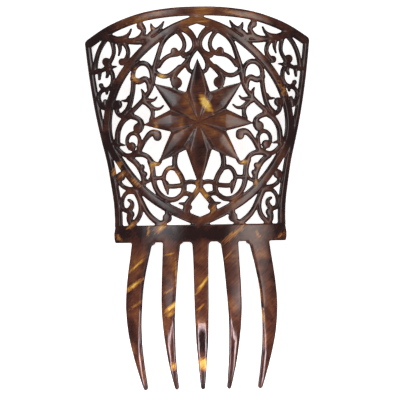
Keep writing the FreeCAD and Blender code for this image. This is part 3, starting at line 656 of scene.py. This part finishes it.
# %% [markdown]
# ## The tortoiseshell finish
# The plastic imitates tortoiseshell: nearly black red-brown clouds, finer fibres that slant up to the right,
# and a few clear amber flecks. An image could hold them, but a noise pattern reads the object's own
# coordinates and stays sharp at any size. The flecks that catch the eye are listed one by one, each as a
# soft ellipse, and the fibres tear their edges so that they look grown and not painted.

# %% Place the amber flecks
Fleck = namedtuple("Fleck", "name x y length width slant strength")
FLECKS = [
    Fleck("star", 4.1, 52.0, 13.6, 5.8, -58, 2.1),
    Fleck("star foot", 7.6, 47.6, 6.0, 2.4, -75, 0.7),
    Fleck("left ray", -23.5, 39.5, 12.0, 3.4, 88, 0.62),
    Fleck("upper left bar", -19.9, 67.2, 6.4, 4.4, -10, 1.4),
    Fleck("left ring", -34.4, 66.2, 8.0, 5.0, -50, 0.85),
    Fleck("left ring side", -34.2, 71.0, 5.0, 3.0, 80, 0.5),
    Fleck("left bowl", -24.6, 18.8, 8.0, 4.4, 10, 1.05),
    Fleck("left bowl stem", -26.4, 15.6, 8.0, 3.0, 85, 0.6),
    Fleck("right bowl", 24.6, 19.4, 6.6, 4.0, 10, 1.15),
    Fleck("left rim", -45.4, 17.2, 12.0, 5.0, 60, 0.72),
    Fleck("left rim foot", -42.6, 13.6, 8.0, 3.2, 40, 0.66),
    Fleck("left frame", -35.6, 9.6, 12.0, 3.2, -42, 0.62),
    Fleck("left oval", -12.0, 12.4, 9.0, 4.4, -65, 0.82),
    Fleck("left oval top", -16.4, 16.6, 6.0, 3.4, 20, 0.7),
    Fleck("crossing", -1.6, 5.4, 11.0, 4.4, 72, 0.8),
    Fleck("crossing foot", 2.6, 2.0, 10.0, 4.0, -55, 0.78),
    Fleck("right ribbon", 7.4, -6.0, 6.0, 3.4, 60, 0.6),
    Fleck("right twig", 31.0, 7.8, 6.0, 3.2, 70, 0.85),
    Fleck("top rim left", -31.0, 98.6, 22.0, 4.4, 18, 0.42),
    Fleck("top rim middle", 3.0, 103.8, 14.0, 3.0, 0, 0.62),
    Fleck("top rim right", 20.6, 101.4, 18.0, 4.0, -12, 0.62),
    Fleck("frame top", 2.0, 97.4, 12.0, 3.0, -8, 0.6),
    Fleck("frame right", 47.0, 59.0, 12.0, 4.0, -62, 0.45),
    Fleck("flower left", -24.0, 94.0, 7.0, 3.0, 40, 0.42),
    Fleck("band corner", -45.2, -21.2, 6.4, 3.0, -45, 0.55),
    Fleck("band left", -37.8, -14.4, 8.0, 3.4, 35, 0.75),
    Fleck("band fibre", -28.6, -17.4, 9.0, 2.0, 80, 0.7),
    Fleck("band knot", -21.6, -16.0, 12.0, 5.0, 28, 0.75),
    Fleck("band streak", 19.0, -19.6, 24.0, 4.6, 40, 0.60),
    Fleck("band right", 31.6, -20.6, 8.0, 2.6, 112, 0.5),
    Fleck("band end", 44.0, -21.6, 8.0, 2.4, 30, 0.4),
    Fleck("outer left tooth", -35.2, -36.4, 18.0, 2.2, 42, 1.1),
    Fleck("outer left tooth low", -37.2, -47.6, 15.0, 3.4, 38, 1.2),
    Fleck("outer left tooth foot", -35.6, -58.0, 12.0, 2.4, 30, 0.5),
    Fleck("inner left tooth", -17.2, -30.6, 9.0, 1.6, 12, 0.75),
    Fleck("inner left tooth side", -13.8, -42.0, 26.0, 1.8, 92, 0.72),
    Fleck("inner left tooth scratch", -18.4, -51.0, 8.0, 1.8, 30, 0.6),
    Fleck("inner left tooth knot", -16.2, -59.4, 15.0, 3.6, 38, 1.5),
    Fleck("inner left tooth glow", -17.0, -63.0, 12.0, 5.4, 36, 0.8),
    Fleck("inner left tip", -16.3, -92.4, 7.0, 4.6, 80, 1.1),
    Fleck("middle tooth", 0.5, -47.8, 17.0, 3.0, 53, 1.4),
    Fleck("middle tooth scratch", -1.0, -60.6, 9.0, 2.0, 48, 0.7),
    Fleck("middle tooth knot", 0.3, -91.4, 9.4, 8.0, 88, 1.7),
    Fleck("inner right tooth", 15.6, -31.0, 10.0, 2.2, 42, 0.5),
    Fleck("outer right tooth", 31.8, -51.6, 16.0, 2.6, 98, 0.95),
    Fleck("outer right tooth low", 33.4, -65.0, 13.0, 2.6, 100, 0.95),
]
print(len(FLECKS), "flecks")

# %% Place the clouds, some of them painted light and shade
Cloud = namedtuple("Cloud", "name x y length width slant lift")
CLOUDS = [
    Cloud("top rim", 0.0, 101.0, 120.0, 16.0, 0, 0.19),
    Cloud("teeth", 0.0, -66.0, 110.0, 90.0, 0, 0.07),
    Cloud("left band", -38.0, -18.0, 26.0, 12.0, 0, -0.20),
    Cloud("middle band", 0.0, -19.0, 66.0, 11.0, 0, -0.20),
    # painted light: the lower right ray is lighter where warm light falls on its facets
    Cloud("painted light on the lower right ray", 15.0, 28.0, 24.0, 12.0, -45, 0.10),
    Cloud("middle tip", 0.0, -101.0, 8.0, 11.0, 0, -0.26),
    Cloud("heart", 0.0, 42.0, 24.0, 24.0, 0, 0.16),
    # painted light: the right side of the star is lighter where warm light falls on its facets
    Cloud("right star", 15.0, 33.0, 28.0, 20.0, -40, 0.08),
    Cloud("upper right star", 12.0, 55.0, 22.0, 12.0, 40, 0.06),
    Cloud("star's left notch", -5.0, 54.0, 8.0, 14.0, 0, 0.12),
    Cloud("top ray", 1.0, 68.0, 8.0, 16.0, 0, -0.08),
    Cloud("outer right tooth", 34.6, -36.0, 9.0, 6.0, 20, -0.22),
    # painted shade: the dark reflection inside the arch of light on the middle tooth
    Cloud("painted shade inside the middle arch", 0.0, -79.0, 7.0, 17.0, 0, -0.30),
    Cloud("outer left tooth top", -32.0, -26.0, 16.0, 10.0, 0, -0.10),
    Cloud("left frame", -26.0, 2.0, 26.0, 10.0, -38, -0.10),
]
print(len(CLOUDS), "clouds")

# %% Paint shade on the rays and along the folds between them
FOLDS_MEET_Y = 41.4
SHADE_REACH = 0.62          # a ray's shade lies this share of the way out to the tip
SHADE_LENGTH = 0.5          # and is this share of the ray long
SHADE_WIDTH = 7.0
SHADE_LIFT = -0.09
FOLD_REACH = 0.5            # a fold's painted shade runs from the star's middle to the notch
FOLD_LENGTH = 1.0
FOLD_WIDTH = 1.0
FOLD_SHADE_LIFT = -0.20


def cloud_toward(name, place, side, reach, share, width, lift):
    """A cloud on the line from where the folds meet to a place, at a reach and of a share of the line."""
    across, up = side * place[0], place[1] - FOLDS_MEET_Y
    return Cloud(name, across * reach, FOLDS_MEET_Y + up * reach, math.hypot(across, up) * share, width,
                 math.degrees(math.atan2(up, across)), lift)


def painted_star_shade():
    """Painted shade: a dark cloud in each ray, and a thin one along each fold between two rays."""
    lines = []
    for side in (-1, 1):
        for ray in STAR:
            lift = SHADE_LIFT if ray.tip[0] else SHADE_LIFT / 2     # the upright rays come up twice
            lines.append(cloud_toward("painted shade in the " + ray.name, ray.tip, side, SHADE_REACH, SHADE_LENGTH,
                                      SHADE_WIDTH, lift))
            if ray.notch:
                lines.append(cloud_toward("painted shade along the fold after the " + ray.name, ray.notch, side, FOLD_REACH,
                                          FOLD_LENGTH, FOLD_WIDTH, FOLD_SHADE_LIFT))
    return lines


CLOUDS += painted_star_shade()
print(len(CLOUDS), "clouds with those of the star")

# %% [markdown]
# ## The layers of the finish
# One value runs over the whole sheet from dark to light. A broad noise gives it clouds, the list above
# lifts or lowers it in places, some of it as painted light and shade, painted shade darkens it toward the
# side rims and on the filed edges, the fibres streak it, and a ramp turns it into browns. The flecks have a
# value and a ramp of their own, laid over the browns. The polish is a low roughness with a slight wave in
# the surface.

# %% Choose the shell's colours
DARK_SHELL = (0.022, 0.0065, 0.0055, 1)
RED_SHELL = (0.088, 0.0272, 0.0158, 1)
BROWN_SHELL = (0.160, 0.053, 0.0235, 1)
ORANGE_SHELL = (0.330, 0.125, 0.028, 1)
AMBER_SHELL = (0.560, 0.270, 0.036, 1)
YELLOW_SHELL = (0.860, 0.560, 0.095, 1)
BODY_COLOURS = [(0.30, DARK_SHELL), (0.50, RED_SHELL), (0.64, BROWN_SHELL), (0.80, ORANGE_SHELL)]
FLECK_COLOURS = [(0.12, BROWN_SHELL), (0.35, ORANGE_SHELL), (0.75, AMBER_SHELL), (1.0, YELLOW_SHELL)]
FLECK_COVERS = 0.25         # from this depth a fleck hides the browns
print(len(BODY_COLOURS), "browns and", len(FLECK_COLOURS), "ambers")

# %% Make helpers for the shader nodes


def add(tree, kind, inputs=(), **settings):
    """A shader node with its settings, and its inputs given as sockets to link or as plain values."""
    made = tree.nodes.new("ShaderNode" + kind)
    for name, value in settings.items():
        setattr(made, name, value)
    for name, value in dict(inputs).items():
        if isinstance(value, bpy.types.NodeSocket):
            tree.links.new(value, made.inputs[name])
        else:
            made.inputs[name].default_value = value
    return made


def maths(tree, operation, first, second=0.0, third=0.0):
    """One sum on up to three values."""
    return add(tree, "Math", {0: first, 1: second, 2: third}, operation=operation).outputs[0]


def carried(tree, value, span, start=0.0, end=1.0, curve="LINEAR"):
    """A value that runs from start to end while the given one crosses a span, and stays put outside it."""
    made = add(tree, "MapRange", {"Value": value, "From Min": span[0], "From Max": span[1], "To Min": start,
                                  "To Max": end}, interpolation_type=curve)
    return made.outputs["Result"]


def ramp(tree, value, stops):
    """Colours along a value, each stop a place and a colour."""
    made = add(tree, "ValToRGB", {"Fac": value})
    while len(made.color_ramp.elements) < len(stops):
        made.color_ramp.elements.new(0.5)
    for element, (place, colour) in zip(made.color_ramp.elements, stops):
        element.position = place
        element.color = colour
    return made.outputs["Color"]


def noise(tree, place, scale, detail=3.0, roughness=0.5, distortion=0.0):
    """A noise whose cells are about 1 / scale wide."""
    made = add(tree, "TexNoise", {"Vector": place, "Scale": scale, "Detail": detail, "Roughness": roughness,
                                  "Distortion": distortion})
    return made.outputs["Fac"]


print("node helpers ready")

# %% Grow the fibres
FIBRE_SLANTS = (44, 6)      # degrees, in the teeth and at the top
FIBRES_TURN_Y = (5.0, 45.0)         # between these heights they go from one slant to the other
FIBRE_LENGTH = 14.0
FIBRE_WIDTH = 0.75


def slanting(tree, chart, slant):
    """A noise stretched into fibres at this slant."""
    turned = add(tree, "Mapping", {"Vector": chart, "Rotation": (0, 0, -math.radians(slant))})
    thin = 1 / FIBRE_WIDTH
    pulled = add(tree, "Mapping", {"Vector": turned.outputs[0], "Scale": (1 / FIBRE_LENGTH, thin, thin)})
    return noise(tree, pulled.outputs[0], 1.0, detail=4.0, roughness=0.6, distortion=0.35)


def fibres(tree, chart):
    """The fibres of the whole sheet, steep in the teeth and nearly level at the top."""
    height = add(tree, "SeparateXYZ", {0: chart}).outputs["Y"]
    steep, level = (slanting(tree, chart, slant) for slant in FIBRE_SLANTS)
    return add(tree, "Mix", {"Factor": carried(tree, height, FIBRES_TURN_Y), 2: steep, 3: level}).outputs[0]


print("fibres", FIBRE_LENGTH, "long and", FIBRE_WIDTH, "wide")

# %% Lay the clouds and the flecks
CLOUD_SCALE = 0.075         # noise cells to the millimetre, as all noise scales here
CLOUD_FADES = (0.3, 1.25)   # a cloud fades between these shares of its oval
FIBRE_STREAKS = 0.42        # how much the fibres streak the browns
SIDE_PAINTED_SHADE = 0.20            # painted shade: the shell is darker toward the side rims, which lean away from the lamps
SIDE_SHADE_X = (36.0, 52.0)       # between these distances from the middle
EDGE_PAINTED_SHADE = 0.28            # and painted shade on the filed edges, which turn away from the light
TEARS = 1.9                 # how much the fibres tear the flecks
TEAR_LEVEL = 0.52           # fibres under this level cut into a fleck
RIGHT_THROUGH = 1000.0      # a patch is deeper than the sheet is thick


def away_from(tree, chart, patch):
    """How far a place lies from the middle of an oval patch, 1 at the oval's edge."""
    local = add(tree, "Mapping", {"Vector": chart, "Location": (patch.x, patch.y, 0),
                                  "Rotation": (0, 0, math.radians(patch.slant)),
                                  "Scale": (patch.length / 2, patch.width / 2, RIGHT_THROUGH)},
                vector_type="TEXTURE")
    return add(tree, "VectorMath", {0: local.outputs[0]}, operation="LENGTH").outputs["Value"]


def body(tree, chart, fibre):
    """How light the shell is under the flecks: a broad noise with clouds, some of them painted light and
    shade, fibres, and painted shade toward the side rims and on the filed edges.
    """
    sideways = maths(tree, "ABSOLUTE", add(tree, "SeparateXYZ", {0: chart}).outputs["X"])
    # painted shade toward the side rims
    painted_side_shade = carried(tree, sideways, SIDE_SHADE_X, end=SIDE_PAINTED_SHADE, curve="SMOOTHSTEP")
    broad = noise(tree, chart, CLOUD_SCALE, detail=3.0, roughness=0.55, distortion=0.6)
    light = maths(tree, "SUBTRACT", broad, painted_side_shade)
    for cloud in CLOUDS:
        lift = carried(tree, away_from(tree, chart, cloud), CLOUD_FADES, cloud.lift, 0.0, "SMOOTHSTEP")
        light = maths(tree, "ADD", light, lift)
    # painted shade on the filed edges, read from how far each place leans
    filed = add(tree, "Attribute", attribute_name="filed").outputs["Fac"]
    light = maths(tree, "MULTIPLY_ADD", filed, -EDGE_PAINTED_SHADE, light)
    return maths(tree, "MULTIPLY_ADD", maths(tree, "SUBTRACT", fibre, 0.5), FIBRE_STREAKS, light)


def flecks(tree, chart, fibre):
    """How deep a place lies in the nearest fleck, after the fibres have torn the fleck's edge."""
    deepest = None
    for fleck in FLECKS:
        depth = maths(tree, "MULTIPLY_ADD", away_from(tree, chart, fleck), -fleck.strength, fleck.strength)
        deepest = depth if deepest is None else maths(tree, "MAXIMUM", deepest, depth)
    return maths(tree, "MULTIPLY_ADD", maths(tree, "SUBTRACT", fibre, TEAR_LEVEL), TEARS, deepest)


print("a cloud fades between", CLOUD_FADES, "of its oval")

# %% Paint and polish the shell
SHELL_IOR = 1.5
HANDLING_SCALE = 0.35       # where hands have dulled the polish
HANDLED = (0.3, 0.75)
POLISHED = 0.06             # roughness at its best and at its worst
DULLED = 0.12
WAVE_SCALE = 0.11
RIPPLE_SCALE = 0.8
RIPPLE_SHARE = 0.05         # of a wave's height
WAVE_STRENGTH = 0.2
WAVE_HEIGHT = 0.4 * MM


def shell():
    """Polished tortoiseshell: dark clouds, slanting fibres and amber flecks under a glossy face, with
    painted light and shade in the browns.
    """
    material = bpy.data.materials.new("tortoiseshell")
    material.use_nodes = True
    tree = material.node_tree
    place = add(tree, "TexCoord").outputs["Object"]
    chart = add(tree, "Mapping", {"Vector": place, "Location": -SHIFT, "Scale": (1 / MM,) * 3}).outputs[0]
    fibre = fibres(tree, chart)
    brown = ramp(tree, body(tree, chart, fibre), BODY_COLOURS)
    depth = flecks(tree, chart, fibre)
    amber = ramp(tree, depth, FLECK_COLOURS)
    cover = carried(tree, depth, (0.0, FLECK_COVERS))
    colour = add(tree, "Mix", {"Factor": cover, 6: brown, 7: amber}, data_type="RGBA").outputs[2]
    surface = tree.nodes["Principled BSDF"]
    surface.inputs["IOR"].default_value = SHELL_IOR
    tree.links.new(colour, surface.inputs["Base Color"])
    handling = noise(tree, chart, HANDLING_SCALE, detail=4.0, roughness=0.6)
    tree.links.new(carried(tree, handling, HANDLED, POLISHED, DULLED), surface.inputs["Roughness"])
    waves = maths(tree, "MULTIPLY_ADD", noise(tree, chart, RIPPLE_SCALE, detail=2.0), RIPPLE_SHARE,
                  noise(tree, chart, WAVE_SCALE, detail=1.0))
    bump = add(tree, "Bump", {"Strength": WAVE_STRENGTH, "Distance": WAVE_HEIGHT, "Height": waves})
    tree.links.new(bump.outputs["Normal"], surface.inputs["Normal"])
    return material


comb_mesh.materials.clear()
comb_mesh.materials.append(shell())
print("finish nodes:", len(comb_mesh.materials[0].node_tree.nodes))

# %% [markdown]
# ## The paper
# The comb lies on pale paper, and its outline is what the eye sees first. A plane would do, but the comb's
# polish would mirror it, and in the photograph the filed edges are dark. So the plane is hidden from glossy
# rays, and it glows a little, which keeps the shadow under the bowed panel pale.

# %% Lay the paper
FLOOR_COLOUR = (0.95, 0.95, 0.94, 1)
FLOOR_GLOW = 0.84
FLOOR_ROUGHNESS = 0.9
FLOOR_REACH = 4.0           # metres from the middle to each side


def floor():
    """A wide sheet of pale paper under the comb, lit a little from below so that no shadow goes dark."""
    bm = bmesh.new()
    bmesh.ops.create_grid(bm, x_segments=1, y_segments=1, size=FLOOR_REACH)
    mesh = bpy.data.meshes.new("floor")
    bm.to_mesh(mesh)
    bm.free()
    thing = bpy.data.objects.new("floor", mesh)
    bpy.context.scene.collection.objects.link(thing)
    material = bpy.data.materials.new("floor paper")
    material.use_nodes = True
    paper = material.node_tree.nodes["Principled BSDF"]
    paper.inputs["Base Color"].default_value = FLOOR_COLOUR
    paper.inputs["Roughness"].default_value = FLOOR_ROUGHNESS
    paper.inputs["Emission Color"].default_value = FLOOR_COLOUR
    paper.inputs["Emission Strength"].default_value = FLOOR_GLOW
    mesh.materials.append(material)
    thing.visible_glossy = False
    return thing


paper_sheet = floor()
print("paper:", len(paper_sheet.data.polygons), "face,", 2 * FLOOR_REACH, "m wide")

# %% [markdown]
# ## The soft boxes
# Soft boxes on both sides leave the faces that look straight up dark and rich, and put a grey sheen on those
# that lean to the side. They fade toward their edges, because a polished face would show a hard box as a
# hard patch. Their brightness is given as a radiance, which stays the same when a box changes size.

# %% Hang the soft boxes
COOL = (0.96, 0.98, 1.0)
WARM = (1.0, 0.95, 0.90)
ROSY = (1.0, 0.95, 0.95)
PINK = (1.0, 0.88, 0.94)
WHITE = (1, 1, 1)
SIDE_DISTANCE = 1.5         # metres from the comb
END_DISTANCE = 1.6
HALF_SPHERE = 180           # degrees that a lamp shines into unless its spread is narrower


def soft_box(name, place, size, radiance, colour, edge=0.5, aim=(0, 0, 0), run=(1, 0, 0),
             spread=HALF_SPHERE):
    """A soft box that points at the aim. Its middle has this radiance, and it fades toward its edges."""
    data = bpy.data.lights.new(name, "AREA")
    data.shape = "RECTANGLE"
    data.size, data.size_y = size
    data.spread = math.radians(spread)
    half = data.spread / 2
    narrowing = 1.0 if spread == HALF_SPHERE else (math.tan(half) - half) / math.tan(half)
    data.energy = radiance * math.pi * size[0] * size[1] * narrowing
    data.color = colour
    lamp = bpy.data.objects.new(name, data)
    bpy.context.scene.collection.objects.link(lamp)
    lamp.location = place
    back = (Vector(place) - Vector(aim)).normalized()
    short = back.cross(Vector(run)).normalized()
    lamp.rotation_euler = Matrix((short.cross(back), short, back)).transposed().to_euler()
    data.use_nodes = True
    tree = data.node_tree
    across = add(tree, "SeparateXYZ", {0: add(tree, "NewGeometry").outputs["Parametric"]}).outputs
    fades = []
    for share in (across["X"], across["Y"]):
        inward = maths(tree, "SUBTRACT", 0.5, maths(tree, "ABSOLUTE", maths(tree, "SUBTRACT", share, 0.5)))
        fades.append(carried(tree, inward, (0.0, edge), curve="SMOOTHSTEP"))
    tree.links.new(maths(tree, "MULTIPLY", *fades), tree.nodes["Emission"].inputs["Strength"])


def toward(across, along, distance):
    """A place at this distance, as many degrees to the right of straight up and toward the comb's top."""
    lean = Vector((math.tan(math.radians(across)), math.tan(math.radians(along)), 1.0))
    return lean.normalized() * distance


soft_box("left box", toward(-28, 13, SIDE_DISTANCE), (1.05, 1.3), 4.2, COOL)
soft_box("right box", toward(36, 2, SIDE_DISTANCE), (1.1, 1.3), 3.9, WARM)
soft_box("left tooth box", toward(-22, -22, SIDE_DISTANCE), (0.4, 0.5), 2.6, ROSY)
soft_box("right tooth box", toward(34, -24, SIDE_DISTANCE), (0.9, 0.5), 4.6, ROSY)
soft_box("far box", toward(0, 58, END_DISTANCE), (1.4, 0.8), 4.8, WHITE)
soft_box("near box", toward(0, -54, END_DISTANCE), (1.8, 1.0), 1.6, PINK)
print("soft boxes:", len(bpy.data.lights))

# %% [markdown]
# ## The arches of light
# In the photograph an arch of light stands on each tooth, because something bright and curved is mirrored
# there. One large lamp draws a broad band instead. So narrow lamps hang end to end in an arch, close over
# the tips, and each shines into a narrow cone, so that the openwork hardly mirrors it.

# %% Hang the arch of narrow lamps and light the sky
TIPS = Vector((0.0, -0.085, 0.0))
ARCH_DISTANCE = 0.4         # metres from the tips
ARCH_COLOUR = (1.0, 0.82, 0.88)
ARCH_SPREAD = 26            # degrees
ARCH_EDGE = 0.15
ARCH_OVERLAP = 1.15         # each lamp runs on into the next
SKY_COLOUR = (0.93, 0.96, 1.0, 1)
SKY_STRENGTH = 0.2
ArchLamp = namedtuple("ArchLamp", "start end width radiance")
# The arch's right half: directions from the tips, and widths in metres.
ARCH = [
    ArchLamp((0.0, -0.452, 0.892), (0.15, -0.460, 0.875), 0.012, 36.0),
    ArchLamp((0.13, -0.459, 0.878), (0.42, -0.505, 0.755), 0.020, 30.0),
    ArchLamp((0.40, -0.508, 0.76), (0.58, -0.58, 0.57), 0.044, 26.0),
    ArchLamp((0.56, -0.576, 0.59), (0.70, -0.64, 0.32), 0.050, 22.0),
]
for side in (-1, 1):
    for start, end, width, radiance in ARCH:
        first, last = (Vector((side * x, y, z)).normalized() * ARCH_DISTANCE for x, y, z in (start, end))
        run = last - first
        size = (run.length * ARCH_OVERLAP, width)
        soft_box("arch", TIPS + (first + last) / 2, size, radiance, ARCH_COLOUR, ARCH_EDGE, TIPS, run,
                 ARCH_SPREAD)
world = bpy.data.worlds.new("studio")
world.use_nodes = True
world.node_tree.nodes["Background"].inputs["Color"].default_value = SKY_COLOUR
world.node_tree.nodes["Background"].inputs["Strength"].default_value = SKY_STRENGTH
bpy.context.scene.world = world
bpy.context.scene.view_settings.view_transform = "Standard"
print("lamps in all:", len(bpy.data.lights))
